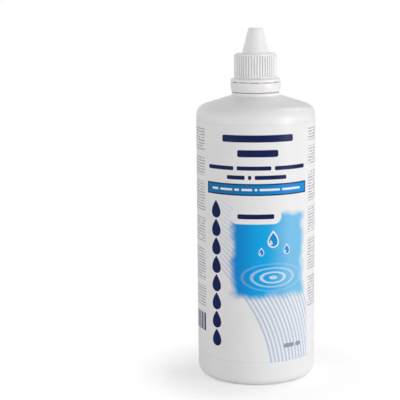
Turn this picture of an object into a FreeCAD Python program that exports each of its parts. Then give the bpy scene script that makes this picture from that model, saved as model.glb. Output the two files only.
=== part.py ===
"""Contact lens solution bottle: a round squeeze bottle with a dropper nozzle, a ribbed screw cap
with a pointed tip, a tamper band under the cap and a wrap-around film label.

Millimetres. +Z is up, the bottle stands on z = 0, and its axis is the Z axis.
The front of the label faces -Y.
"""

import FreeCAD, Part
import math
import os
from FreeCAD import Vector

# Bottle body
body_diameter = 62.0
body_wall = 1.0
shoulder_corner_z = 143.0
shoulder_slope_deg = 17.6
shoulder_radius = 6.0
heel_radius = 5.0
foot_width = 4.0
push_up_height = 3.0
push_up_side = 6.0
push_up_radius = 3.0
foot_edge_radius = 1.0

# Bottle neck, from the support ring at its foot to the sealing lip at its top
ring_diameter = 25.0
ring_height = 1.5
neck_diameter = 20.4
bead_height = 1.9
bead_hook = 0.35
finish_diameter = 17.2
finish_height = 11.4
neck_wall = 1.8
neck_root_radius = 2.0
edge_radius = 0.3
soft_edge_radius = 0.6

# Tamper band, which hangs under the bead
band_height = 5.0
band_wall = 1.1
band_gap = 0.3
band_clearance = 0.65
band_taper = 0.55
band_taper_height = 2.9
band_taper_radius = 5.0
lip_height = 0.9
lip_clearance = 0.75
lip_play = 1.3
bridge_count = 12
bridge_width = 1.6
bridge_turn_deg = 14.0
break_gap = 0.35
break_clearance = 0.06

# Screw cap
skirt_wall = 0.95
cap_clearance = 0.25
thread_depth = 0.85
flare_setback = 0.15
flare_wall = 1.25
flare_rim_height = 1.2
flare_rise = 0.9
head_room = 1.6
deck_thickness = 1.5
cone_foot_diameter = 14.3
cone_top_diameter = 7.4
cone_height = 13.0
cone_wall = 1.2
cone_edge_radius = 0.8
rib_count = 48
rib_radius = 0.57
rib_head_margin = 0.9
rib_foot_margin = 0.3
pin_clearance = 0.12
pin_reach = 1.6

# Dropper nozzle, pushed into the neck; the plug stands off the bore by twice the clearance of its beads
flange_setback = 0.4
flange_height = 1.2
plug_length = 9.0
plug_wall = 1.1
plug_clearance = 0.05
plug_bead_height = 0.8
plug_bead_pitch = 2.6
plug_bead_count = 2
spout_wall = 1.0
spout_foot_clearance = 0.95
spout_side_clearance = 0.5
spout_tip_clearance = 0.3
orifice_diameter = 1.5
orifice_length = 3.2

# Label film
label_foot_z = 13.0
label_height = 123.0
label_thickness = 0.08
adhesive_thickness = 0.02
label_seam_gap = 3.0

# Radii that follow from the sizes above, from the neck outwards
body_radius = body_diameter / 2
ring_radius = ring_diameter / 2
neck_radius = neck_diameter / 2
lip_radius = neck_radius + lip_clearance
bead_radius = lip_radius + bead_hook
band_inner_radius = bead_radius + band_clearance
band_radius = band_inner_radius + band_wall
flare_radius = band_radius - flare_setback
finish_radius = finish_diameter / 2
bore_radius = finish_radius - neck_wall
cap_bore_radius = finish_radius + thread_depth + cap_clearance
skirt_radius = cap_bore_radius + skirt_wall
cone_foot_radius = cone_foot_diameter / 2
cone_tip_radius = cone_top_diameter / 2
spout_foot_radius = cone_foot_radius - cone_wall - spout_foot_clearance
spout_tip_radius = cone_tip_radius - cone_wall - spout_side_clearance
orifice_radius = orifice_diameter / 2

# Heights that follow from the sizes above, from the shoulder upwards
shoulder_slope = math.tan(math.radians(shoulder_slope_deg))
ring_foot_z = shoulder_corner_z + (body_radius - ring_radius) * shoulder_slope
ring_top_z = ring_foot_z + ring_height
band_foot_z = ring_top_z + band_gap
lip_top_z = band_foot_z + lip_height
band_top_z = band_foot_z + band_height
bead_foot_z = lip_top_z + lip_play
bead_top_z = bead_foot_z + bead_height
neck_top_z = bead_top_z + finish_height
flange_top_z = neck_top_z + flange_height
cap_foot_z = band_top_z + break_gap
deck_foot_z = flange_top_z + head_room
deck_top_z = deck_foot_z + deck_thickness
cone_top_z = deck_top_z + cone_height
cap_ceiling_z = cone_top_z - cone_wall
spout_tip_z = cap_ceiling_z - spout_tip_clearance


def rounded_wire(corners):
    """Closed wire in the XZ plane through (radius, height, corner radius), each corner a tangent arc."""
    points = [Vector(r, 0, z) for r, z, _ in corners]
    count = len(points)
    starts, ends, arcs = [], [], []
    for i in range(count):
        here, fillet = points[i], corners[i][2]
        back = (points[i - 1] - here).normalize()
        ahead = (points[(i + 1) % count] - here).normalize()
        if not fillet:
            starts.append(here)
            ends.append(here)
            arcs.append(None)
            continue
        half = back.getAngle(ahead) / 2
        reach = fillet / math.tan(half)
        middle = (back + ahead).normalize()
        centre = here + middle * (fillet / math.sin(half))
        starts.append(here + back * reach)
        ends.append(here + ahead * reach)
        arcs.append(centre - middle * fillet)
    edges = []
    for i in range(count):
        if arcs[i]:
            edges.append(Part.Arc(starts[i], arcs[i], ends[i]).toShape())
        following = starts[(i + 1) % count]
        if (following - ends[i]).Length > 1e-6:
            edges.append(Part.LineSegment(ends[i], following).toShape())
    return Part.Wire(edges)


def turned(corners):
    """Solid of revolution about Z of a rounded outline."""
    face = Part.Face(rounded_wire(corners))
    return face.revolve(Vector(0, 0, 0), Vector(0, 0, 1), 360)


def around(shape, count, first_deg=0.0):
    """Copies of a shape, evenly turned about Z."""
    copies = []
    for i in range(count):
        copy = shape.copy()
        copy.rotate(Vector(0, 0, 0), Vector(0, 0, 1), first_deg + i * 360.0 / count)
        copies.append(copy)
    return copies


def make_bottle():
    """Blow-moulded bottle: pushed-up base, straight wall, sloping shoulder and neck finish, one even wall."""
    foot_inner = body_radius - heel_radius - foot_width
    panel = foot_inner - push_up_side
    inner_radius = body_radius - body_wall
    # The inner shoulder runs parallel to the outer one, one wall below it.
    drop = body_wall / math.cos(math.radians(shoulder_slope_deg))
    inner_corner_z = shoulder_corner_z - drop + body_wall * shoulder_slope
    throat_z = inner_corner_z + (inner_radius - bore_radius) * shoulder_slope
    outside = [
        (0, push_up_height, 0),
        (panel, push_up_height, push_up_radius),
        (foot_inner, 0, foot_edge_radius),
        (body_radius, 0, heel_radius),
        (body_radius, shoulder_corner_z, shoulder_radius),
        (ring_radius, ring_foot_z, 0),
        (ring_radius, ring_top_z, edge_radius),
        (neck_radius, ring_top_z, edge_radius),
        (neck_radius, bead_foot_z, 0),
        (bead_radius, bead_foot_z, edge_radius),
        (bead_radius, bead_foot_z + bead_height / 2, edge_radius),
        (finish_radius, bead_top_z, edge_radius),
        (finish_radius, neck_top_z, edge_radius),
    ]
    inside = [
        (bore_radius, neck_top_z, 0),
        (bore_radius, throat_z, neck_root_radius),
        (inner_radius, inner_corner_z, shoulder_radius - body_wall),
        (inner_radius, body_wall, heel_radius - body_wall),
        (foot_inner, body_wall, foot_edge_radius + body_wall),
        (panel, push_up_height + body_wall, push_up_radius - body_wall),
        (0, push_up_height + body_wall, 0),
    ]
    return turned(outside + inside)


def make_label():
    """Film label round the straight wall, with its butt seam open at the back."""
    inner = body_radius + adhesive_thickness
    outer = inner + label_thickness
    ring = Part.Face(
        [
            Part.Wire(Part.makeCircle(outer, Vector(0, 0, label_foot_z))),
            Part.Wire(Part.makeCircle(inner, Vector(0, 0, label_foot_z))),
        ]
    )
    ring.validate()
    tube = ring.extrude(Vector(0, 0, label_height))
    seam = Part.makeBox(
        label_seam_gap, body_diameter, label_height, Vector(-label_seam_gap / 2, 0, label_foot_z)
    )
    return tube.cut(seam)


def make_nozzle():
    """Dropper nozzle: a plug with sealing beads in the neck, a flange on the lip and a tapered spout."""
    plug_radius = bore_radius - plug_clearance * 2
    plug_bead_radius = bore_radius - plug_clearance
    plug_core = plug_radius - plug_wall / 2
    throat = plug_radius - plug_wall
    plug_foot_z = neck_top_z - plug_length
    flange_radius = finish_radius - flange_setback
    chamber_top_z = spout_tip_z - orifice_length
    taper = (spout_foot_radius - spout_tip_radius) / (spout_tip_z - flange_top_z)
    chamber_foot = spout_foot_radius - spout_wall
    chamber_top = chamber_foot - taper * (chamber_top_z - flange_top_z)
    nozzle = turned(
        [
            (throat, plug_foot_z, 0),
            (plug_core, plug_foot_z, 0),
            (plug_radius, plug_foot_z + plug_wall, edge_radius),
            (plug_radius, neck_top_z, 0),
            (flange_radius, neck_top_z, 0),
            (flange_radius, flange_top_z, edge_radius),
            (spout_foot_radius, flange_top_z, soft_edge_radius),
            (spout_tip_radius, spout_tip_z, soft_edge_radius),
            (orifice_radius, spout_tip_z, 0),
            (orifice_radius, chamber_top_z, 0),
            (chamber_top, chamber_top_z, 0),
            (chamber_foot, flange_top_z, soft_edge_radius),
            (throat, neck_top_z, soft_edge_radius),
        ]
    )
    for i in range(plug_bead_count):
        middle_z = neck_top_z - plug_bead_pitch * (i + 1)
        foot_z, top_z = middle_z - plug_bead_height / 2, middle_z + plug_bead_height / 2
        bead = turned(
            [
                (plug_core, foot_z, 0),
                (plug_radius, foot_z, 0),
                (plug_bead_radius, middle_z, 0),
                (plug_radius, top_z, 0),
                (plug_core, top_z, 0),
            ]
        )
        nozzle = nozzle.fuse(bead)
    return nozzle.removeSplitter()


def make_band():
    """Tamper band: a tapered ring with a lip that hooks under the bead and broken bridges on its top rim."""
    ring = turned(
        [
            (lip_radius, band_foot_z, edge_radius),
            (band_radius - band_taper, band_foot_z, edge_radius),
            (band_radius, band_foot_z + band_taper_height, band_taper_radius),
            (band_radius, band_top_z, edge_radius),
            (band_inner_radius, band_top_z, 0),
            (band_inner_radius, lip_top_z + band_inner_radius - lip_radius, 0),
            (lip_radius, lip_top_z, 0),
        ]
    )
    bridge = Part.makeBox(
        band_wall - 2 * edge_radius,
        bridge_width,
        break_gap - break_clearance + edge_radius,
        Vector(band_inner_radius + edge_radius / 2, -bridge_width / 2, band_top_z - edge_radius),
    )
    return ring.fuse(around(bridge, bridge_count, bridge_turn_deg)).removeSplitter()


def make_cap():
    """Screw cap: pointed hollow tip with a pin that stops the orifice, ribbed skirt and flared foot."""
    flare_rim_z = cap_foot_z + flare_rim_height
    flare_top_z = flare_rim_z + flare_rise
    inner_flare = flare_radius - flare_wall
    taper = (cone_foot_radius - cone_tip_radius) / cone_height
    inner_foot = cone_foot_radius - cone_wall + taper * deck_thickness
    inner_top = cone_tip_radius - cone_wall + taper * cone_wall
    pin_radius = orifice_radius - pin_clearance
    pin_foot_z = spout_tip_z - pin_reach
    shell = turned(
        [
            (0, cone_top_z, 0),
            (cone_tip_radius, cone_top_z, cone_edge_radius),
            (cone_foot_radius, deck_top_z, edge_radius),
            (skirt_radius, deck_top_z, soft_edge_radius),
            (skirt_radius, flare_top_z, edge_radius),
            (flare_radius, flare_rim_z, edge_radius),
            (flare_radius, cap_foot_z, 0),
            (inner_flare, cap_foot_z, 0),
            (inner_flare, cap_foot_z + flare_rim_height / 2, edge_radius),
            (cap_bore_radius, flare_top_z - flare_wall / 2, edge_radius),
            (cap_bore_radius, deck_foot_z, edge_radius),
            (inner_foot, deck_foot_z, edge_radius),
            (inner_top, cap_ceiling_z, 0),
            (pin_radius, cap_ceiling_z, 0),
            (pin_radius, pin_foot_z + pin_radius, 0),
            (0, pin_foot_z, 0),
        ]
    )
    rib_foot_z = flare_top_z + rib_foot_margin
    rib_length = deck_top_z - rib_head_margin - rib_foot_z
    rib = Part.makeCylinder(rib_radius, rib_length, Vector(skirt_radius, 0, rib_foot_z))
    return shell.fuse(around(rib, rib_count)).removeSplitter()


def main():
    os.makedirs("parts", exist_ok=True)
    pieces = {
        "bottle": make_bottle(),
        "label": make_label(),
        "dropper_nozzle": make_nozzle(),
        "tamper_band": make_band(),
        "screw_cap": make_cap(),
    }
    for name, shape in pieces.items():
        solids = shape.Solids
        box = shape.BoundBox
        print(
            "%-15s solids %d  valid %s  volume %.1f  z %.2f to %.2f  width %.2f"
            % (name, len(solids), shape.isValid(), shape.Volume, box.ZMin, box.ZMax, box.XLength)
        )
        Part.makeCompound(solids).exportStep("parts/%s.step" % name)


main()
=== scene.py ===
# %% [markdown]
# This lesson dresses a squeeze bottle for contact lens solution. The CAD model already holds the exact
# bottle, label, nozzle, band and cap, so no main shape is made again. Every piece gets a finish, the
# screw threads and the traces of the mould are added, the label is printed, and a studio is built around
# the bottle. Everything is in metres, in the frame of the CAD model: +Z is up and the front of the label
# faces -Y.

# %% Load the frame
import bpy
import math
from functools import partial
from mathutils import Matrix, Vector


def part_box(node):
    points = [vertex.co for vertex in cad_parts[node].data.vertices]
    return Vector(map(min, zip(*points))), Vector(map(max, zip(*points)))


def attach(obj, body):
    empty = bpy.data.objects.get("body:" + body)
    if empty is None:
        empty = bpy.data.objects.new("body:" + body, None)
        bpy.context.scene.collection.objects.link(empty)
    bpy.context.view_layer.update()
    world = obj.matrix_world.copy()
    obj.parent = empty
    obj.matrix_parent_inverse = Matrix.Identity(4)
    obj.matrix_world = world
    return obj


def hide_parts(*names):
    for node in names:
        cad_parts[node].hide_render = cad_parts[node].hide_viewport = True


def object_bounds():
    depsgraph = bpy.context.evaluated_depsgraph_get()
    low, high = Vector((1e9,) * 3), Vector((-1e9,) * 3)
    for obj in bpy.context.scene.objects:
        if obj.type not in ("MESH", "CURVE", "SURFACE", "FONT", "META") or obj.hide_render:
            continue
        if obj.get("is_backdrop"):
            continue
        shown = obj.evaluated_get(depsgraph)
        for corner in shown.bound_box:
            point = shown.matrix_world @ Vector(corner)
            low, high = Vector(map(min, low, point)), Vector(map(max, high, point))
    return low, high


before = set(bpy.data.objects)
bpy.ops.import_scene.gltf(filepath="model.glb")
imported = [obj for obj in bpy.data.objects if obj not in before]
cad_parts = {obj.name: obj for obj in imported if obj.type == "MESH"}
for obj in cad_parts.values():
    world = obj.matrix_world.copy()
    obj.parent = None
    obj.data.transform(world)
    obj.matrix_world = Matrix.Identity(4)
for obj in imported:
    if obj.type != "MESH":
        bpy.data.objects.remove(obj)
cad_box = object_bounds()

MM = 0.001
body_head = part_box("bottle")[1]
label_foot, label_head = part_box("label")
cap_foot, cap_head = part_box("screw_cap")
print("nodes", sorted(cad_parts), "height %.1f mm" % (cap_head.z / MM))

# %% [markdown]
# Materials and geometry trees are both built from nodes. One helper adds a node and fills or links its
# sockets, and the others do one common step each: arithmetic on numbers or positions, a soft step between
# two values, a cloudy noise, and one colour over another. With them the later cells stay short enough to
# read.

# %% Node helpers
def add(tree, kind, inputs=(), **settings):
    """Adds a node; each input is a value or a socket to link from."""
    made = tree.nodes.new(kind)
    for key, value in settings.items():
        setattr(made, key, value)
    for key, value in dict(inputs).items():
        socket = made.inputs[key]
        if isinstance(value, bpy.types.NodeSocket):
            tree.links.new(value, socket)
        else:
            socket.default_value = value
    return made


def calc(tree, operation, first, second=0.0, clamp=False):
    """One step of arithmetic on numbers or sockets."""
    inputs = {0: first, 1: second}
    return add(tree, "ShaderNodeMath", inputs, operation=operation, use_clamp=clamp).outputs[0]


def vector_calc(tree, operation, first, second=(0.0, 0.0, 0.0), third=(0.0, 0.0, 0.0)):
    """One step of arithmetic on positions; some operations give a number."""
    made = add(tree, "ShaderNodeVectorMath", {0: first, 1: second, 2: third}, operation=operation)
    gives_number = operation in ("LENGTH", "DISTANCE", "DOT_PRODUCT")
    return made.outputs["Value" if gives_number else "Vector"]


def joined(tree, x=0.0, y=0.0, z=0.0):
    """One position from three numbers or sockets."""
    return add(tree, "ShaderNodeCombineXYZ", {"X": x, "Y": y, "Z": z}).outputs[0]


def between(tree, value, low, high, out_low=0.0, out_high=1.0):
    """Soft step: value from low to high gives out_low to out_high."""
    inputs = {"Value": value, "From Min": low, "From Max": high, "To Min": out_low, "To Max": out_high}
    return add(tree, "ShaderNodeMapRange", inputs, interpolation_type="SMOOTHSTEP").outputs["Result"]


def noise(tree, place, scale, detail):
    """Cloudy noise from 0 to 1; a larger scale gives smaller clouds."""
    inputs = {"Vector": place, "Scale": scale, "Detail": detail}
    return add(tree, "ShaderNodeTexNoise", inputs).outputs["Fac"]


def ink(tree, under, over, mask):
    """Colour `over` printed on colour `under` where the mask is 1."""
    # A Mix node set to colour takes them at its sockets 6 and 7 and gives the result at 2.
    return add(tree, "ShaderNodeMix", {0: mask, 6: under, 7: over}, data_type="RGBA").outputs[2]


print("node helpers ready")

# %% [markdown]
# A finish is a material with one Principled shader. Three more helpers start such a material, add a fine
# relief to it as bump, and put it on a piece in place of what the piece had.

# %% Material helpers
def new_material(name):
    """A node material, its tree and its Principled shader."""
    material = bpy.data.materials.new(name)
    material.use_nodes = True
    tree = material.node_tree
    return material, tree, tree.nodes["Principled BSDF"]


def fine_relief(tree, shader, height, strength, depth):
    """Grain of a surface, too fine to be modelled."""
    bump = add(tree, "ShaderNodeBump", {"Height": height, "Strength": strength, "Distance": depth})
    tree.links.new(bump.outputs["Normal"], shader.inputs["Normal"])


def finish_with(piece, material):
    """Gives a piece one material."""
    piece.data.materials.clear()
    piece.data.materials.append(material)


print("material helpers ready")

# %% [markdown]
# The bottle is blown from white polyethylene, which has a satin skin. The cap and the band are injection
# moulded and a little glossier, and the nozzle is left uncoloured and looks milky. A single flat white
# would look like paint, so all four share one recipe: a slow drift of tone from the melt, a roughness
# that wanders with it, and a fine grain from the mould in the bump.

# %% Plastic recipe
drift_scale = 38.0
noise_middle = (0.3, 0.7)
rough_spread = 0.04
grain_strength = 0.25
plastic_index = 1.5
coat_rough = 0.12
milk_reach = (1.0, 0.9, 0.75)
milk_depth = 0.6 * MM


def moulded_plastic(name, light, dark, rough, grain_size, grain_depth, milky=0.0, coat=0.0):
    """White moulded plastic; light and dark are the ends of its tone drift, sizes are in metres."""
    material, tree, shader = new_material(name)
    place = add(tree, "ShaderNodeTexCoord").outputs["Object"]
    drift = noise(tree, place, drift_scale, 2.0)
    tone = between(tree, drift, *noise_middle)
    tree.links.new(ink(tree, (*dark, 1.0), (*light, 1.0), tone), shader.inputs["Base Color"])
    wander = between(tree, drift, *noise_middle, rough + rough_spread, rough - rough_spread)
    tree.links.new(wander, shader.inputs["Roughness"])
    fine_relief(tree, shader, noise(tree, place, 1.0 / grain_size, 3.0), grain_strength, grain_depth)
    shader.inputs["IOR"].default_value = plastic_index
    shader.inputs["Coat Weight"].default_value = coat
    shader.inputs["Coat Roughness"].default_value = coat_rough
    if milky:
        shader.inputs["Subsurface Weight"].default_value = milky
        shader.inputs["Subsurface Radius"].default_value = milk_reach
        shader.inputs["Subsurface Scale"].default_value = milk_depth
    return material


satin_rough = 0.34
satin_white = moulded_plastic(
    "satin_white_bottle",
    light=(0.872, 0.868, 0.87),
    dark=(0.845, 0.842, 0.845),
    rough=satin_rough,
    grain_size=0.5 * MM,
    grain_depth=0.03 * MM,
)
cap_white = moulded_plastic(
    "cap_white",
    light=(0.91, 0.907, 0.91),
    dark=(0.885, 0.882, 0.885),
    rough=satin_rough,
    grain_size=0.3 * MM,
    grain_depth=0.005 * MM,
    coat=0.15,
)
band_white = moulded_plastic(
    "band_white",
    light=(0.89, 0.882, 0.868),
    dark=(0.865, 0.856, 0.838),
    rough=satin_rough,
    grain_size=0.3 * MM,
    grain_depth=0.004 * MM,
    coat=0.1,
)
nozzle_milk = moulded_plastic(
    "nozzle_milk",
    light=(0.85, 0.85, 0.82),
    dark=(0.80, 0.80, 0.77),
    rough=satin_rough,
    grain_size=0.3 * MM,
    grain_depth=0.005 * MM,
    milky=0.45,
)
print("plastics", [plastic.name for plastic in (satin_white, cap_white, band_white, nozzle_milk)])

# %% [markdown]
# The cap's skirt is ribbed for grip, and little light gets into the narrow grooves, which show as fine
# grey lines. The grooves are real in the CAD solid, but light alone leaves them too pale at this size. So
# shade is painted into the cap's colour: it darkens a little with depth. The distance from the axis says
# how deep a point lies in a groove, and its height keeps the painted shade between the two ends of
# the ribs.

# %% Painted shade in the grip grooves
skirt_radius = 10.65 * MM
rib_height = 0.57 * MM
rib_foot = cap_foot.z + 2.4 * MM
rib_head = cap_head.z - 13.9 * MM
rib_soft_end = 0.3 * MM
skirt_skin = (skirt_radius - 0.15 * MM, skirt_radius - 0.05 * MM)
shaded_share = 0.8
painted_shade_strength = 0.35
# grey of the shade painted into the grooves
painted_shade_grey = (0.30, 0.30, 0.31, 1.0)


def paint_shade_in_grooves(material):
    """Paints shade into a cap's colour in the grooves between its ribs."""
    tree = material.node_tree
    base_colour = tree.nodes["Principled BSDF"].inputs["Base Color"]
    plain = base_colour.links[0].from_socket
    place = add(tree, "ShaderNodeTexCoord").outputs["Object"]
    from_axis = vector_calc(tree, "LENGTH", vector_calc(tree, "MULTIPLY", place, (1.0, 1.0, 0.0)))
    height = add(tree, "ShaderNodeSeparateXYZ", {0: place}).outputs["Z"]
    lit_radius = skirt_radius + shaded_share * rib_height
    groove = between(tree, from_axis, skirt_radius, lit_radius, painted_shade_strength, 0.0)
    for limit in (
        between(tree, from_axis, *skirt_skin),
        between(tree, height, rib_foot, rib_foot + rib_soft_end),
        between(tree, height, rib_head - rib_soft_end, rib_head, 1.0, 0.0),
    ):
        groove = calc(tree, "MULTIPLY", groove, limit)
    # painted shade: the grey goes into the cap's colour where a groove lies deep
    tree.links.new(ink(tree, plain, painted_shade_grey, groove), base_colour)


paint_shade_in_grooves(cap_white)
print("ribs shaded over %.1f mm of height" % ((rib_head - rib_foot) / MM))

# %% [markdown]
# The four moulded pieces come from the CAD model as they are, so they only take their plastics. The label
# is dressed later, because its print needs a film with a flat layout.

# %% Plastics on the CAD pieces
plastic_of = {
    "bottle": satin_white,
    "screw_cap": cap_white,
    "tamper_band": band_white,
    "dropper_nozzle": nozzle_milk,
}
for node, plastic in plastic_of.items():
    finish_with(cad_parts[node], plastic)
print("plastics on", len(plastic_of), "CAD nodes")

# %% [markdown]
# A geometry tree is a small program for a shape. Here each one has named inputs for its sizes, ends by
# making its copies real and setting the material, and is then turned into a plain mesh, so that the piece
# can ride on its CAD body and be exported.

# %% Tree helpers
crease_angle = math.radians(40)


def new_tree(name, sizes):
    """Geometry tree with one input for each named size, and a material input."""
    tree = bpy.data.node_groups.new(name, "GeometryNodeTree")
    tree.interface.new_socket("Geometry", in_out="INPUT", socket_type="NodeSocketGeometry")
    for label, value in sizes.items():
        tree.interface.new_socket(label, in_out="INPUT", socket_type="NodeSocketFloat").default_value = value
    tree.interface.new_socket("Material", in_out="INPUT", socket_type="NodeSocketMaterial")
    tree.interface.new_socket("Geometry", in_out="OUTPUT", socket_type="NodeSocketGeometry")
    return tree, add(tree, "NodeGroupInput").outputs


def close_tree(tree, shape, material):
    """Ends a tree: copies become real geometry, shaded smooth, with the material set."""
    real = add(tree, "GeometryNodeRealizeInstances", {0: shape})
    smooth = add(tree, "GeometryNodeSetShadeSmooth", {0: real.outputs[0], "Shade Smooth": True})
    dressed = add(tree, "GeometryNodeSetMaterial", {0: smooth.outputs[0], "Material": material})
    add(tree, "NodeGroupOutput", {0: dressed.outputs[0]})


def grow(name, tree, sizes, material, seed_mesh=None):
    """Runs a tree with these sizes and keeps the result as a plain mesh object."""
    piece = bpy.data.objects.new(name, seed_mesh or bpy.data.meshes.new(name))
    bpy.context.scene.collection.objects.link(piece)
    modifier = piece.modifiers.new("tree", "NODES")
    modifier.node_group = tree
    values = {**sizes, "Material": material}
    for item in tree.interface.items_tree:
        if item.in_out == "INPUT" and item.name in values:
            modifier[item.identifier] = values[item.name]
    made = piece.evaluated_get(bpy.context.evaluated_depsgraph_get())
    mesh = bpy.data.meshes.new_from_object(made)
    piece.modifiers.clear()
    piece.data = mesh
    mesh.name = name
    mesh.set_sharp_from_angle(angle=crease_angle)
    print(name, len(mesh.vertices), "points,", len(mesh.polygons), "faces")
    return piece


print("tree helpers ready")

# %% [markdown]
# The neck carries a thread ridge of one and a half turns, and the cap has its partner inside. In the
# mould they are cut as a helix, and a spiral curve is the same path here. A moulded thread runs in and
# out: at both ends its section shrinks, and the path sinks into the wall that carries the ridge, so that
# no end stands free.

# %% Path of the thread
thread_sizes = {
    "Turns": 1.5,
    "Radius": 9.0 * MM,
    "Foot": 158.0 * MM,
    "Pitch": 3.0 * MM,
    "Root Width": 1.3 * MM,
    "Crest Width": 0.5 * MM,
    "Depth": 0.6 * MM,
    "Crest Turn": -math.pi / 2,
    "Run In": 0.13,
    "Sink": 0.35 * MM,
}
thread_steps = 96
thinnest = 0.05
thread_tree, thread_in = new_tree("screw_thread", thread_sizes)
thread_calc = partial(calc, thread_tree)
spiral = add(
    thread_tree,
    "GeometryNodeCurveSpiral",
    {
        "Resolution": thread_steps,
        "Rotations": thread_in["Turns"],
        "Start Radius": thread_in["Radius"],
        "End Radius": thread_in["Radius"],
        "Height": thread_calc("MULTIPLY", thread_in["Turns"], thread_in["Pitch"]),
        "Reverse": True,
    },
)
upright = add(thread_tree, "GeometryNodeSetCurveNormal", {0: spiral.outputs[0]}, mode="Z_UP")
from_first = add(thread_tree, "GeometryNodeSplineParameter").outputs["Factor"]
from_last = thread_calc("SUBTRACT", 1.0, from_first)
run_in = between(thread_tree, from_first, 0.0, thread_in["Run In"], thinnest, 1.0)
run_out = between(thread_tree, from_last, 0.0, thread_in["Run In"], thinnest, 1.0)
swell = thread_calc("MULTIPLY", run_in, run_out)
faded = add(thread_tree, "GeometryNodeSetCurveRadius", {0: upright.outputs[0], "Radius": swell})
sunk = thread_calc("MULTIPLY", thread_calc("SUBTRACT", 1.0, swell), thread_in["Sink"])
draw_in = thread_calc("SUBTRACT", 1.0, thread_calc("DIVIDE", sunk, thread_in["Radius"]))
on_path = add(thread_tree, "GeometryNodeInputPosition").outputs[0]
bedded_place = vector_calc(thread_tree, "MULTIPLY", on_path, joined(thread_tree, draw_in, draw_in, 1.0))
bedded = add(thread_tree, "GeometryNodeSetPosition", {0: faded.outputs[0], "Position": bedded_place})
print("thread path of", thread_sizes["Turns"], "turns")

# %% [markdown]
# The ridge itself is a trapezoid, wide at its root and narrow at its crest, swept along the path. A
# quarter turn of the section points the crest outwards, as on a neck, and a turn the other way points it
# inwards, as in a cap, so one tree serves both threads.

# %% Ridge of the thread
thread_section = add(
    thread_tree,
    "GeometryNodeCurvePrimitiveQuadrilateral",
    {
        "Height": thread_in["Depth"],
        "Bottom Width": thread_in["Root Width"],
        "Top Width": thread_in["Crest Width"],
        "Offset": 0.0,
    },
    mode="TRAPEZOID",
)
turned_section = add(
    thread_tree,
    "GeometryNodeTransform",
    {0: thread_section.outputs[0], "Rotation": joined(thread_tree, z=thread_in["Crest Turn"])},
)
thread_ridge = add(
    thread_tree,
    "GeometryNodeCurveToMesh",
    {"Curve": bedded.outputs[0], "Profile Curve": turned_section.outputs[0], "Fill Caps": True},
)
raised = add(
    thread_tree,
    "GeometryNodeSetPosition",
    {0: thread_ridge.outputs[0], "Offset": joined(thread_tree, z=thread_in["Foot"])},
)
close_tree(thread_tree, raised.outputs[0], thread_in["Material"])
print("thread tree has", len(thread_tree.nodes), "nodes")

# %% [markdown]
# Each thread is bedded a little in the wall that carries it: the neck below its lip, and the bore of the
# cap. The cap's ridge is the shallower one, so that the two crests clear each other when the cap turns
# and lifts.

# %% Threads on the neck and in the cap
finish_radius = 8.6 * MM
neck_ridge_offset = 0.25 * MM
neck_thread_drop = 7.6 * MM
neck_thread_sizes = {
    **thread_sizes,
    "Radius": finish_radius + neck_ridge_offset,
    "Foot": body_head.z - neck_thread_drop,
}
neck_thread = grow("neck_thread", thread_tree, neck_thread_sizes, satin_white)
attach(neck_thread, "bottle")

cap_bore_radius = 9.7 * MM
cap_ridge_offset = 0.2 * MM
cap_thread_drop = 6.6 * MM
cap_thread_sizes = {
    **thread_sizes,
    "Radius": cap_bore_radius - cap_ridge_offset,
    "Foot": body_head.z - cap_thread_drop,
    "Depth": 0.5 * MM,
    "Crest Turn": math.pi / 2,
    "Sink": -0.3 * MM,
}
cap_thread = grow("cap_thread", thread_tree, cap_thread_sizes, cap_white)
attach(cap_thread, "cap")

# %% [markdown]
# A blown bottle is shaped between two mould halves, and where they meet the plastic keeps a hair-fine
# ridge, here on the left and right sides, above and below the label. The ridge follows the bottle's
# outline, so its path is drawn once, as a chain of edges with arcs at the shoulder and the heel.

# %% Path of the parting line
body_radius = body_head.x
shoulder_slope = math.radians(17.6)
shoulder_radius = 6.0 * MM
shoulder_corner_z = 143.0 * MM
heel_radius = 5.0 * MM
heel_sweep = math.radians(65)
ridge_inner_end = 14.0 * MM
label_clearance = 0.3 * MM
arc_steps = 12


def arc_points(centre, radius, first, last):
    """Points (x, z) on an arc between two angles."""
    turns = [first + (last - first) * i / arc_steps for i in range(arc_steps + 1)]
    return [(centre[0] + radius * math.cos(turn), centre[1] + radius * math.sin(turn)) for turn in turns]


corner_reach = shoulder_radius / math.tan((math.pi / 2 + shoulder_slope) / 2)
shoulder_centre = (body_radius - shoulder_radius, shoulder_corner_z - corner_reach)
slope_rise = (body_radius - ridge_inner_end) * math.tan(shoulder_slope)
upper_run = [(ridge_inner_end, shoulder_corner_z + slope_rise)]
upper_run += arc_points(shoulder_centre, shoulder_radius, math.pi / 2 - shoulder_slope, 0.0)
upper_run.append((body_radius, label_head.z + label_clearance))
heel_centre = (body_radius - heel_radius, heel_radius)
lower_run = [(body_radius, label_foot.z - label_clearance)]
lower_run += arc_points(heel_centre, heel_radius, 0.0, -heel_sweep)

parting_path = bpy.data.meshes.new("parting_path")
path_points = [(x, 0.0, z) for x, z in upper_run + lower_run]
path_edges = [(i, i + 1) for i in range(len(path_points) - 1) if i != len(upper_run) - 1]
parting_path.from_pydata(path_points, path_edges, [])
print("parting path of", len(path_points), "points in two runs")

# %% [markdown]
# A tree sweeps a small round section along the path and turns a copy to the other side of the bottle.
# Modelled as a real ridge, the line catches light at any angle, which a drawn line would not.

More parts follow.
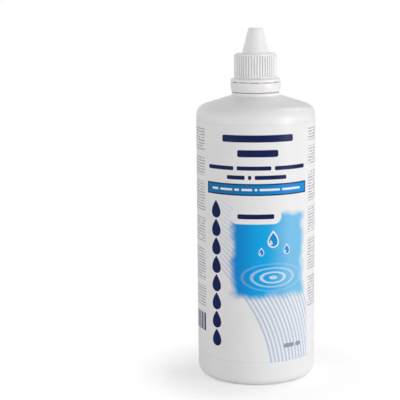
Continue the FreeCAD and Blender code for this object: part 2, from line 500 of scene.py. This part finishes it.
# %% Parting line
ridge_sizes = {"Ridge Radius": 0.075 * MM}
ridge_sides = 8
ridge_tree, ridge_in = new_tree("parting_ridge", ridge_sizes)
ridge_path = add(ridge_tree, "GeometryNodeMeshToCurve", {0: ridge_in["Geometry"]})
ridge_section = add(
    ridge_tree,
    "GeometryNodeCurvePrimitiveCircle",
    {"Resolution": ridge_sides, "Radius": ridge_in["Ridge Radius"]},
)
one_side = add(
    ridge_tree,
    "GeometryNodeCurveToMesh",
    {"Curve": ridge_path.outputs[0], "Profile Curve": ridge_section.outputs[0], "Fill Caps": True},
)
half_turn = (0.0, 0.0, math.pi)
other_side = add(ridge_tree, "GeometryNodeTransform", {0: one_side.outputs[0], "Rotation": half_turn})
both_sides = add(ridge_tree, "GeometryNodeJoinGeometry", {0: one_side.outputs[0]})
ridge_tree.links.new(other_side.outputs[0], both_sides.inputs[0])
close_tree(ridge_tree, both_sides.outputs[0], ridge_in["Material"])
parting_line = grow("parting_line", ridge_tree, ridge_sizes, satin_white, parting_path)
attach(parting_line, "bottle")

# %% [markdown]
# The mould halves also pinch the hot tube shut under the bottle and leave a short, thicker ridge across
# the pushed-up base. The same tree makes it from a straight path: the path runs from the middle outwards,
# the turned copy is the other half, and the section is wider.

# %% Pinched seam
push_up_height = 3.0 * MM
pinch_half_length = 12.5 * MM
pinch_sizes = {"Ridge Radius": 0.3 * MM}
pinch_path = bpy.data.meshes.new("pinch_path")
pinch_ends = [(0.0, 0.0, push_up_height), (pinch_half_length, 0.0, push_up_height)]
pinch_path.from_pydata(pinch_ends, [(0, 1)], [])
pinched_seam = grow("pinched_seam", ridge_tree, pinch_sizes, satin_white, pinch_path)
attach(pinched_seam, "bottle")

# %% [markdown]
# The label is a strip of film wrapped round the straight wall, with an open butt seam at the back. Its
# print is laid out as the printer sees it, on a flat sheet: x runs along the wrap from the middle of the
# front, z runs up the bottle, both in millimetres. The CAD label has no such layout, so a film of the
# same size takes its place, with a UV map that carries the flat sheet round the bottle.

# %% Film
film_outer = label_head.x
film_thickness = 0.08 * MM
seam_half_width = 1.5 * MM
wrap_half_angle = math.pi - math.asin(seam_half_width / film_outer)
wrap_steps = 288
sheet_half = film_outer / MM * wrap_half_angle
sheet_low = label_foot.z / MM
sheet_high = label_head.z / MM


def film_mesh(name):
    """Closed film: outer face, inner face and their four edges, with the flat sheet as its UV map."""
    points, layout = [], []
    for step in range(wrap_steps + 1):
        share = step / wrap_steps
        angle = (2 * share - 1) * wrap_half_angle
        for radius in (film_outer, film_outer - film_thickness):
            for up, height in enumerate((label_foot.z, label_head.z)):
                points.append((radius * math.sin(angle), -radius * math.cos(angle), height))
                layout.append((share, up))
    faces = []
    for step in range(wrap_steps):
        here, after = 4 * step, 4 * (step + 1)
        faces.append((here, after, after + 1, here + 1))
        faces.append((here + 2, here + 3, after + 3, after + 2))
        faces.append((here, here + 2, after + 2, after))
        faces.append((here + 1, after + 1, after + 3, here + 3))
    last = 4 * wrap_steps
    faces.append((0, 1, 3, 2))
    faces.append((last, last + 2, last + 3, last + 1))
    mesh = bpy.data.meshes.new(name)
    mesh.from_pydata(points, [], faces)
    flat_sheet = mesh.uv_layers.new(name="flat_sheet")
    for loop in mesh.loops:
        flat_sheet.data[loop.index].uv = layout[loop.vertex_index]
    mesh.shade_smooth()
    mesh.set_sharp_from_angle(angle=crease_angle)
    return mesh


film = bpy.data.objects.new("label_film", film_mesh("label_film"))
bpy.context.scene.collection.objects.link(film)
print("film sheet %.1f by %.1f mm" % (2 * sheet_half, sheet_high - sheet_low))

# %% [markdown]
# The print is made of two soft-edged shapes, bars and drops. An image could hold them, but it would blur
# close up. So each shape is a small node group that takes a position on the sheet and gives a mask, 1
# inside and 0 outside. A bar is what lies within a corner's radius of a smaller rectangle.

# %% Bar shape
print_edge = 0.09


def new_shape(name, sizes):
    """Node group with the sheet position and named sizes as inputs and a mask as output."""
    tree = bpy.data.node_groups.new(name, "ShaderNodeTree")
    tree.interface.new_socket("Sheet", in_out="INPUT", socket_type="NodeSocketVector")
    for label in sizes:
        tree.interface.new_socket(label, in_out="INPUT", socket_type="NodeSocketFloat")
    tree.interface.new_socket("Mask", in_out="OUTPUT", socket_type="NodeSocketFloat")
    return tree, add(tree, "NodeGroupInput").outputs


bar_sizes = ("Middle X", "Middle Z", "Half Length", "Half Height", "Corner")
bar_shape, bar_in = new_shape("printed_bar", bar_sizes)
core_half_length = calc(bar_shape, "SUBTRACT", bar_in["Half Length"], bar_in["Corner"])
core_half_height = calc(bar_shape, "SUBTRACT", bar_in["Half Height"], bar_in["Corner"])
bar_middle = joined(bar_shape, bar_in["Middle X"], bar_in["Middle Z"])
away = vector_calc(bar_shape, "SUBTRACT", bar_in["Sheet"], bar_middle)
away = vector_calc(bar_shape, "ABSOLUTE", away)
away = vector_calc(bar_shape, "SUBTRACT", away, joined(bar_shape, core_half_length, core_half_height, 1.0))
away = vector_calc(bar_shape, "MAXIMUM", away, (0.0, 0.0, 0.0))
past_corner = calc(bar_shape, "SUBTRACT", vector_calc(bar_shape, "LENGTH", away), bar_in["Corner"])
bar_mask = between(bar_shape, past_corner, -print_edge, print_edge, 1.0, 0.0)
add(bar_shape, "NodeGroupOutput", {0: bar_mask})
print("shape", bar_shape.name, "has", len(bar_shape.nodes), "nodes")

# %% [markdown]
# A drop is round below and pointed above. Its width at each height is the square root of the rise from
# the foot times what is left up to the tip, a formula that gives both ends without a single drawn point.

# %% Drop shape
drop_height = 3.0
drop_fullness = 2.6
drop_edge = 0.08
drop_shape, drop_in = new_shape("printed_drop", ("Middle X", "Middle Z", "Size"))
drop_calc = partial(calc, drop_shape)
drop_place = add(drop_shape, "ShaderNodeSeparateXYZ", {0: drop_in["Sheet"]}).outputs
across = drop_calc("DIVIDE", drop_calc("SUBTRACT", drop_place["X"], drop_in["Middle X"]), drop_in["Size"])
up = drop_calc("DIVIDE", drop_calc("SUBTRACT", drop_place["Y"], drop_in["Middle Z"]), drop_in["Size"])
rise = drop_calc("DIVIDE", drop_calc("ADD", up, 1.0), drop_height, clamp=True)
drop_width = drop_calc("MULTIPLY", drop_calc("SQRT", rise), drop_calc("SUBTRACT", 1.0, rise))
drop_width = drop_calc("MULTIPLY", drop_width, drop_fullness)
inside = drop_calc("SUBTRACT", drop_width, drop_calc("ABSOLUTE", across))
add(drop_shape, "NodeGroupOutput", {0: between(drop_shape, inside, 0.0, drop_edge)})
print("shape", drop_shape.name, "has", len(drop_shape.nodes), "nodes")

# %% [markdown]
# The label is printed in blues and navy on white film. All of the print is one material: it finds its
# place on the flat sheet, and colours then go down one after another, as a printer lays one ink over the
# next. First comes the film itself, white with a faint drift. Along its top and bottom edges goes a fine
# grey line of painted shade, where the thin film ends on the bottle; it is darker at the foot.

# %% Label colours and bare film
navy = (0.003, 0.011, 0.085, 1.0)
deep_blue = (0.002, 0.13, 0.34, 1.0)
mid_blue = (0.002, 0.17, 0.43, 1.0)
bright_blue = (0.001, 0.27, 0.70, 1.0)
sky_blue = (0.002, 0.40, 0.82, 1.0)
pale_blue = (0.20, 0.55, 0.84, 1.0)
stripe_blue = (0.46, 0.58, 0.75, 1.0)
small_print_grey = (0.30, 0.33, 0.40, 1.0)
film_white = (0.87, 0.868, 0.87, 1.0)
film_shade = (0.85, 0.849, 0.853, 1.0)
# grey of the shade painted along the film's top and bottom edges
edge_shade_grey = (0.62, 0.62, 0.63, 1.0)

label_print, label_tree, label_shader = new_material("label_print")
label_calc = partial(calc, label_tree)
label_vector = partial(vector_calc, label_tree)
label_step = partial(between, label_tree)
label_ink = partial(ink, label_tree)

layout_place = add(label_tree, "ShaderNodeUVMap", uv_map="flat_sheet").outputs[0]
sheet_span = (2 * sheet_half, sheet_high - sheet_low, 0.0)
sheet = label_vector("MULTIPLY_ADD", layout_place, sheet_span, (-sheet_half, sheet_low, 0.0))
sheet_x, sheet_z = add(label_tree, "ShaderNodeSeparateXYZ", {0: sheet}).outputs[:2]
film_drift_scale = 0.06
film_drift_range = (0.35, 0.65)
film_drift = noise(label_tree, sheet, film_drift_scale, 2.0)
printed = label_ink(film_shade, film_white, label_step(film_drift, *film_drift_range))
# painted shade: a fine grey line along the film's top and bottom edges, darker at the foot
edge_shade_width = 0.45
foot_edge_shade_strength = 0.5
head_edge_shade_strength = 0.35
painted_foot_edge_shade = label_step(sheet_z, sheet_low, sheet_low + edge_shade_width, foot_edge_shade_strength, 0.0)
painted_head_edge_shade = label_step(sheet_z, sheet_high - edge_shade_width, sheet_high, 0.0, head_edge_shade_strength)
printed = label_ink(printed, edge_shade_grey, label_calc("ADD", painted_foot_edge_shade, painted_head_edge_shade))
print("bare film from z %.1f to %.1f mm" % (sheet_low, sheet_high))

# %% [markdown]
# Three helpers serve the whole print. One stamps a shape on the sheet, one sets a line of plain bars
# where type would stand, and one repeats a band at an even pitch.

# %% Printing helpers
word_corner = 0.6


def stamp(shape, *sizes):
    """Mask of one printed shape, with its sizes in millimetres on the sheet."""
    group = add(label_tree, "ShaderNodeGroup", node_tree=shape)
    label_tree.links.new(sheet, group.inputs["Sheet"])
    for socket, value in zip(list(group.inputs)[1:], sizes):
        socket.default_value = value
    return group.outputs[0]


def words(middle_z, half_height, spans):
    """One line of plain bars in place of words; each span is the left and right end of a bar."""
    mask = 0.0
    for left, right in spans:
        middle_x, half_length = (left + right) / 2, (right - left) / 2
        bar = stamp(bar_shape, middle_x, middle_z, half_length, half_height, word_corner * half_height)
        mask = label_calc("MAXIMUM", mask, bar)
    return mask


def repeated(place, pitch, fill, soft):
    """Bands at an even pitch; fill and the softness of their edges are shares of the pitch."""
    share = label_calc("FRACT", label_calc("DIVIDE", place, pitch))
    off_middle = label_calc("ABSOLUTE", label_calc("SUBTRACT", share, 0.5))
    return label_step(off_middle, (fill - soft) / 2, (fill + soft) / 2, 1.0, 0.0)


print("printing helpers ready")

# %% [markdown]
# Fine pale stripes sweep up the front of the label in wide arcs. They are circles round one far point:
# the distance from it, repeated at an even pitch, gives them all at once. They fade out upwards and at
# the sides.

# %% Sweeping stripes
arc_centre = (-70.0, 2.0, 0.0)
arc_pitch = 2.1
arc_fill = 0.42
arc_soft = 0.1
arc_inner = (77.0, 78.0)
arc_outer = (108.0, 109.0)
stripe_left = (-30.0, -8.0)
stripe_right = (30.0, 33.0)
stripe_heights = (30.0, 110.0)
stripe_top_strength = 0.3
from_centre = label_vector("DISTANCE", sheet, arc_centre)
stripes = repeated(from_centre, arc_pitch, arc_fill, arc_soft)
for limit in (
    label_step(from_centre, *arc_inner),
    label_step(from_centre, *arc_outer, 1.0, 0.0),
    label_step(sheet_x, *stripe_left),
    label_step(sheet_x, *stripe_right, 1.0, 0.0),
    label_step(sheet_z, *stripe_heights, 1.0, stripe_top_strength),
):
    stripes = label_calc("MULTIPLY", stripes, limit)
printed = label_ink(printed, stripe_blue, stripes)
print("stripes", round((arc_outer[1] - arc_inner[0]) / arc_pitch))

# %% [markdown]
# In the middle of the front is a blue picture field with soft, wavering edges, like a watercolour wash.
# It goes from bright blue on the left to pale blue on the right, and rings spread over it as on still
# water. A sine of the distance makes the rings, and counting upright distances more than double lays
# them flat.

# %% Picture field with ripples
field_middle = (7.4, 69.3)
field_half_size = (22.0, 24.0)
field_soft = 5.0
wash_scale = 0.11
wash_range = (0.2, 0.8)
waver = 1.5
wash = noise(label_tree, sheet, wash_scale, 3.0)
wobble = label_step(wash, *wash_range, -waver, waver)
field_mask = 1.0
for place, middle, half_size in zip((sheet_x, sheet_z), field_middle, field_half_size):
    from_middle = label_calc("ABSOLUTE", label_calc("SUBTRACT", place, middle))
    wavering_reach = label_calc("ADD", from_middle, wobble)
    within = label_step(wavering_reach, half_size - field_soft, half_size, 1.0, 0.0)
    field_mask = label_calc("MULTIPLY", field_mask, within)

ripple_centre = (9.0, 58.0, 0.0)
ripple_squash = (1.0, 2.3, 1.0)
ring_rate = 1.25
ring_reach = (3.0, 21.0)
ring_strength = 0.8
from_ripple = label_vector("MULTIPLY", label_vector("SUBTRACT", sheet, ripple_centre), ripple_squash)
ripple_reach = label_vector("LENGTH", from_ripple)
ring_wave = label_calc("SINE", label_calc("MULTIPLY", ripple_reach, ring_rate))
ring_fade = label_step(ripple_reach, *ring_reach, ring_strength, 0.0)
rings = label_calc("MULTIPLY", label_step(ring_wave, 0.0, 1.0), ring_fade)

sky_blend = (-10.0, 4.0)
pale_blend = (4.0, 19.0)
pale_strength = 0.95
blues = label_ink(bright_blue, sky_blue, label_step(sheet_x, *sky_blend))
wavering_x = label_calc("ADD", sheet_x, wobble)
blues = label_ink(blues, pale_blue, label_step(wavering_x, *pale_blend, 0.0, pale_strength))
blues = label_ink(blues, film_white, rings)
printed = label_ink(printed, blues, field_mask)
print("picture field %.0f by %.0f mm" % tuple(2 * half_size for half_size in field_half_size))

# %% [markdown]
# Three drops fall over the ripples. Each is the same shape stamped three times: white for the rim, a
# smaller blue one for the inside, and a small pale one for the glint.

# %% Falling drops
falling_drops = ((9.0, 76.5, 3.1), (16.5, 71.5, 1.9), (2.8, 70.8, 1.5))
core_share = 0.78
glint_share = 0.3
glint_shift = (-0.4, -0.25)
glint_strength = 0.75
for drop_x, drop_z, drop_size in falling_drops:
    printed = label_ink(printed, film_white, stamp(drop_shape, drop_x, drop_z, drop_size))
    printed = label_ink(printed, bright_blue, stamp(drop_shape, drop_x, drop_z, core_share * drop_size))
    glint_x = drop_x + glint_shift[0] * drop_size
    glint_z = drop_z + glint_shift[1] * drop_size
    glint = stamp(drop_shape, glint_x, glint_z, glint_share * drop_size)
    printed = label_ink(printed, film_white, label_calc("MULTIPLY", glint, glint_strength))
print("falling drops", len(falling_drops))

# %% [markdown]
# The label is a generic one, so it carries no words: navy bars of the height and length of type stand at
# the top, two heavy lines and two finer ones. Under them is a banner, which is a navy bar with a slightly
# smaller blue one on it, and then a white plate with one bar over the edge of the picture field.

# %% Lines of type, banner and plate
title_half_height = 1.8
line_half_height = 1.05
type_lines = (
    (129.3, title_half_height, ((-17.8, 20.2),)),
    (121.8, title_half_height, ((-9.5, 11.7),)),
    (114.3, line_half_height, ((-27.0, -11.5), (-9.8, 8.0), (9.8, 28.2))),
    (109.6, line_half_height, ((-15.2, -5.6), (-3.9, -2.2), (-0.5, 16.2))),
)
for line_z, half_height, spans in type_lines:
    printed = label_ink(printed, navy, words(line_z, half_height, spans))

banner_middle = (0.7, 103.4)
banner_half_length = 29.0
banner_half_height = 3.05
banner_corner = 0.25
banner_border = 0.65
inner_corner = 0.2
inner_half_length = banner_half_length - banner_border
inner_half_height = banner_half_height - banner_border
banner_edge = stamp(bar_shape, *banner_middle, banner_half_length, banner_half_height, banner_corner)
banner_inside = stamp(bar_shape, *banner_middle, inner_half_length, inner_half_height, inner_corner)
banner_blend = (-20.0, 30.0)
banner_blue = label_ink(mid_blue, bright_blue, label_step(sheet_x, *banner_blend))
printed = label_ink(printed, navy, banner_edge)
printed = label_ink(printed, banner_blue, banner_inside)
banner_spans = (
    (-24.5, -20.5),
    (-19.2, -12.2),
    (-11.0, -8.6),
    (-7.3, -1.8),
    (-0.6, 0.8),
    (2.0, 12.6),
    (13.8, 25.0),
)
banner_word_half_height = 0.55
banner_words = words(banner_middle[1], banner_word_half_height, banner_spans)
printed = label_ink(printed, film_white, banner_words)

plate_middle = (0.0, 89.6)
plate_half_length = 13.4
plate_half_height = 3.9
plate = stamp(bar_shape, *plate_middle, plate_half_length, plate_half_height, plate_half_height)
printed = label_ink(printed, film_white, plate)
plate_word_half_height = 1.25
plate_word = words(plate_middle[1], plate_word_half_height, ((-9.5, 9.5),))
printed = label_ink(printed, navy, plate_word)
print("lines of type", len(type_lines), "and bars in the banner", len(banner_spans))

# %% [markdown]
# An upright column of navy drops runs along the left of the front, and two short grey bars stand near the
# foot on the right. The column is a loop over one stamp.

# %% Column of drops
column_drop_x = -22.2
column_drop_foot = 23.2
column_drop_pitch = 9.7
column_drop_count = 8
column_drop_size = 3.1
for i in range(column_drop_count):
    column_drop_z = column_drop_foot + i * column_drop_pitch
    column_drop = stamp(drop_shape, column_drop_x, column_drop_z, column_drop_size)
    printed = label_ink(printed, navy, column_drop)
foot_line_z = 21.3
foot_line_half_height = 1.1
foot_line = words(foot_line_z, foot_line_half_height, ((14.8, 21.0), (22.3, 25.6)))
printed = label_ink(printed, small_print_grey, foot_line)
print("column of", column_drop_count, "drops")

# %% [markdown]
# Columns of small print wrap round the sides and the back. Thousands of bars would be slow, so rows
# repeat at one pitch and a noise, different in each row, breaks them into words. Bars cut the columns out
# of that pattern: the two beside the front have gaps between paragraphs, and those at the back have blue
# headings.

# %% Columns of small print
row_pitch = 1.5
row_fill = 0.42
row_soft = 0.08
word_stretch = 0.62
row_shift = 7.31
word_gap = (0.39, 0.42)
row = label_calc("FLOOR", label_calc("DIVIDE", sheet_z, row_pitch))
rows = repeated(sheet_z, row_pitch, row_fill, row_soft)
along_row = label_calc("MULTIPLY", sheet_x, word_stretch)
word_place = joined(label_tree, along_row, label_calc("MULTIPLY", row, row_shift))
row_words = label_step(noise(label_tree, word_place, 1.0, 1.0), *word_gap)

side_columns = ((-46.5, -31.0), (32.5, 51.0))
back_columns = ((54.0, 72.0), (75.0, 93.0), (-70.0, -50.0), (-93.0, -74.0))
column_foot = 39.0
column_head = 133.0
square_corner = 0.1
gap_margin = 0.5


def across_column(span, middle_z, half_height, margin=0.0):
    """Mask of a bar as wide as a column, and wider by a margin on each side."""
    left, right = span
    half_width = (right - left) / 2 + margin
    return stamp(bar_shape, (left + right) / 2, middle_z, half_width, half_height, square_corner)


columns = 0.0
for span in side_columns + back_columns:
    column = across_column(span, (column_foot + column_head) / 2, (column_head - column_foot) / 2)
    columns = label_calc("MAXIMUM", columns, column)
print("columns of small print", len(side_columns + back_columns))

# %% [markdown]
# Paragraphs and headings keep the columns from looking like plain hatching. A clearing is taken out of a
# column for each, and a heading's bar is then printed in its clearing.

# %% Paragraphs and headings
paragraph_breaks = (120.0, 107.2, 88.5, 72.0, 51.8)
paragraph_half_gap = 1.5
column_shifts = (0.0, 5.2)
for span, shift in zip(side_columns, column_shifts):
    for break_z in paragraph_breaks:
        clearing = across_column(span, break_z + shift, paragraph_half_gap, gap_margin)
        columns = label_calc("SUBTRACT", columns, clearing, clamp=True)

heading_half_gap = 2.4
heading_lines = ((128.5, 0.8, 5.0), (96.0, 0.7, 9.0), (61.5, 0.7, 9.0))
headings = 0.0
for span in back_columns:
    left, right = span
    for heading_z, half_height, shorter in heading_lines:
        clearing = across_column(span, heading_z, heading_half_gap, gap_margin)
        columns = label_calc("SUBTRACT", columns, clearing, clamp=True)
        heading = words(heading_z, half_height, ((left, right - shorter),))
        headings = label_calc("MAXIMUM", headings, heading)

small_print_strength = 0.85
small_print = label_calc("MULTIPLY", label_calc("MULTIPLY", rows, row_words), columns)
small_print = label_calc("MULTIPLY", small_print, small_print_strength)
printed = label_ink(printed, small_print_grey, small_print)
printed = label_ink(printed, deep_blue, headings)
print("headings", len(back_columns) * len(heading_lines))

# %% [markdown]
# Low on the left side is a small block of even upright bars, which holds no code. After it the print is
# complete, and the film gets its finish: a soft gloss with a very fine grain, less shiny than the bare
# plastic around it.

# %% Bar block and film finish
block_middle = (-38.0, 31.0)
block_half_size = (6.9, 4.8)
block_bar_pitch = 2.8
block_bar_fill = 0.64
block_bar_soft = 0.08
block = stamp(bar_shape, *block_middle, *block_half_size, square_corner)
block_bars = repeated(sheet_x, block_bar_pitch, block_bar_fill, block_bar_soft)
printed = label_ink(printed, navy, label_calc("MULTIPLY", block, block_bars))
label_tree.links.new(printed, label_shader.inputs["Base Color"])

film_gloss = 0.15
film_rough = (0.30, 0.38)
film_grain_scale = 1.4
film_grain_strength = 0.12
film_grain_depth = 0.02 * MM
film_grain = noise(label_tree, sheet, film_grain_scale, 2.0)
label_shader.inputs["Specular IOR Level"].default_value = film_gloss
film_wander = label_step(film_grain, *noise_middle, *film_rough)
label_tree.links.new(film_wander, label_shader.inputs["Roughness"])
fine_relief(label_tree, label_shader, film_grain, film_grain_strength, film_grain_depth)
finish_with(film, label_print)
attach(film, "bottle")
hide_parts("label")
print("label print has", len(label_tree.nodes), "nodes")

# %% [markdown]
# The bottle stands on a white studio table. A plane would do, but it would shut off the light from the
# pushed-up base, so the table is a flat ring, with a hole inside the rim that the bottle stands on.

# %% Table
table_radius = 3.0
hole_radius = 26.0 * MM
table_sides = 64
table_points = []
for radius in (hole_radius, table_radius):
    for i in range(table_sides):
        angle = 2 * math.pi * i / table_sides
        table_points.append((radius * math.cos(angle), radius * math.sin(angle), 0.0))
table_faces = []
for i in range(table_sides):
    following = (i + 1) % table_sides
    table_faces.append((i, table_sides + i, table_sides + following, following))
floor_mesh = bpy.data.meshes.new("floor")
floor_mesh.from_pydata(table_points, [], table_faces)
floor = bpy.data.objects.new("floor", floor_mesh)
bpy.context.scene.collection.objects.link(floor)
print("table of", len(table_faces), "faces")

# %% [markdown]
# In a pack shot the table melts into the white background, and only a soft shadow stays round the foot.
# So the table is a shaded white near the bottle and turns into plain white further away, for the camera
# only. From below it is clear, so that the base can be looked at.

# %% Table finish
floor_tones = ((0.92, 0.92, 0.92, 1.0), (0.94, 0.94, 0.94, 1.0))
floor_drift_scale = 3.0
floor_rough = 0.9
floor_lift = 0.30
shadow_reach = (0.036, 0.07)
floor_white, floor_tree, floor_shader = new_material("floor_white")
floor_place = add(floor_tree, "ShaderNodeTexCoord").outputs["Object"]
floor_drift = noise(floor_tree, floor_place, floor_drift_scale, 2.0)
floor_tone = between(floor_tree, floor_drift, *noise_middle)
floor_tree.links.new(ink(floor_tree, *floor_tones, floor_tone), floor_shader.inputs["Base Color"])
floor_shader.inputs["Roughness"].default_value = floor_rough
floor_shader.inputs["Specular IOR Level"].default_value = 0.0

to_camera = add(floor_tree, "ShaderNodeLightPath").outputs["Is Camera Ray"]
lift_strength = calc(floor_tree, "MULTIPLY", to_camera, floor_lift)
lift_glow = add(floor_tree, "ShaderNodeEmission", {"Strength": lift_strength})
shaded = add(floor_tree, "ShaderNodeAddShader", {0: floor_shader.outputs[0], 1: lift_glow.outputs[0]})
from_bottle = vector_calc(floor_tree, "LENGTH", floor_place)
plain_share = calc(floor_tree, "MULTIPLY", to_camera, between(floor_tree, from_bottle, *shadow_reach))
plain_glow = add(floor_tree, "ShaderNodeEmission", {"Color": (1.0, 1.0, 1.0, 1.0), "Strength": 1.0})
near_and_far = {0: plain_share, 1: shaded.outputs[0], 2: plain_glow.outputs[0]}
upper_side = add(floor_tree, "ShaderNodeMixShader", near_and_far)
underside = add(floor_tree, "ShaderNodeNewGeometry").outputs["Backfacing"]
clear = add(floor_tree, "ShaderNodeBsdfTransparent")
both_faces = {0: underside, 1: upper_side.outputs[0], 2: clear.outputs[0]}
two_sided = add(floor_tree, "ShaderNodeMixShader", both_faces)
floor_tree.links.new(two_sided.outputs[0], floor_tree.nodes["Material Output"].inputs["Surface"])
finish_with(floor, floor_white)
floor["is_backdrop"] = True
print("shadow kept within %.0f mm of the axis" % (shadow_reach[1] / MM))

# %% [markdown]
# The room around the bottle is white to the camera. As a light it is brighter at the walls than at the
# ceiling, which keeps the shoulder a little darker than the sides. A white bottle in a white room would
# lose its outline, so reflections see a grey card behind it on the right, as photographers set one up,
# and its right edge stays.

# %% Room
wall_light = 0.99
ceiling_light = 0.32
wall_to_ceiling = (0.05, 0.85)
room_tint = (1.0, 0.99, 0.995, 1.0)
card_side = (0.8, 0.6, 0.0)
card_spread = (0.4, 0.9)
card_grey = 0.75
world = bpy.data.worlds.new("studio")
bpy.context.scene.world = world
world.use_nodes = True
room = world.node_tree
room.nodes.clear()
ray_kind = add(room, "ShaderNodeLightPath").outputs
ray = add(room, "ShaderNodeTexCoord").outputs["Generated"]
ray_up = add(room, "ShaderNodeSeparateXYZ", {0: ray}).outputs["Z"]
room_light = between(room, ray_up, *wall_to_ceiling, wall_light, ceiling_light)
lit_room = add(room, "ShaderNodeBackground", {"Color": room_tint, "Strength": room_light})
card = between(room, vector_calc(room, "DOT_PRODUCT", ray, card_side), *card_spread, 0.0, card_grey)
card_dimming = calc(room, "MULTIPLY", card, ray_kind["Is Glossy Ray"])
seen_light = calc(room, "SUBTRACT", 1.0, card_dimming)
seen_room = add(room, "ShaderNodeBackground", {"Color": (1.0, 1.0, 1.0, 1.0), "Strength": seen_light})
seen = calc(room, "MAXIMUM", ray_kind["Is Glossy Ray"], ray_kind["Is Transmission Ray"])
seen = calc(room, "MAXIMUM", ray_kind["Is Camera Ray"], seen)
either = add(room, "ShaderNodeMixShader", {0: seen, 1: lit_room.outputs[0], 2: seen_room.outputs[0]})
add(room, "ShaderNodeOutputWorld", {0: either.outputs[0]})
print("room light from %.2f at the walls to %.2f at the ceiling" % (wall_light, ceiling_light))

# %% [markdown]
# Three soft boxes shape the bottle: a key from the right, which makes that side nearly white, a light
# from above and behind for the cap and shoulder, and a weak fill from the left. Large boxes give the
# broad, soft highlights of satin plastic; small lamps would give hard streaks.

# %% Lamps
bottle_middle = Vector((0.0, 0.0, cap_head.z / 2))
soft_boxes = (
    ("key_right", Vector((0.87, -0.46, 0.15)), 0.4, 3.8),
    ("top", Vector((0.5, 0.4, 0.85)), 0.5, 1.6),
    ("fill_left", Vector((-0.85, -0.7, 0.06)), 0.7, 1.9),
)
for name, place, size, watts in soft_boxes:
    lamp = bpy.data.lights.new(name, "AREA")
    lamp.size = size
    lamp.energy = watts
    soft_box = bpy.data.objects.new(name, lamp)
    bpy.context.scene.collection.objects.link(soft_box)
    soft_box.location = place
    soft_box.rotation_euler = (bottle_middle - place).to_track_quat("-Z", "Y").to_euler()
    print("soft box", name, "of", size, "m with", watts, "W")

# %% [markdown]
# The curves of the label's edges and of the base give the viewpoint: about 0.65 m away with a long lens,
# a little above the cap, looking slightly down. The bottle stands right of the middle of the picture and
# the camera leans by half a degree. The angles are worked out from where the axis and the top of the cap
# fall in the picture.

# %% Camera
image_size = 400
focal_pixels = 1249
camera_distance = 0.653
camera_height = 0.204
axis_pixel_x = 256.55
cap_top_pixel_y = 28.33
camera_roll = math.radians(-0.55)

lens = bpy.data.cameras.new("camera")
lens.sensor_width = 36.0
lens.lens = lens.sensor_width * focal_pixels / image_size
camera = bpy.data.objects.new("camera", lens)
bpy.context.scene.collection.objects.link(camera)
image_middle = image_size / 2
camera_turn = math.atan((axis_pixel_x - image_middle) / focal_pixels)
cap_angle = math.atan((camera_height - cap_head.z) / camera_distance)
camera_pitch = cap_angle + math.atan((image_middle - cap_top_pixel_y) / focal_pixels)
heading_turn = Matrix.Rotation(camera_turn, 3, "Z")
tilt = Matrix.Rotation(math.pi / 2 - camera_pitch, 3, "X")
lean = Matrix.Rotation(camera_roll, 3, "Z")
camera.location = (0.0, -camera_distance, camera_height)
camera.rotation_euler = (heading_turn @ tilt @ lean).to_euler()
bpy.context.scene.camera = camera
bpy.context.scene.view_settings.view_transform = "Standard"
print("camera pitch %.2f, turn %.2f degrees" % (math.degrees(camera_pitch), math.degrees(camera_turn)))

# %% [markdown]
# Last, the box of the dressed bottle is printed under the box of the CAD model. Nothing that was added
# reaches out of the CAD box by more than a hair, so the part keeps its real size.

# %% Sizes of the CAD model and the dressed bottle
visual_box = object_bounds()
for box_name, box in (("CAD", cad_box), ("visual", visual_box)):
    print(box_name, "box", [tuple(round(value, 4) for value in corner) for corner in box])
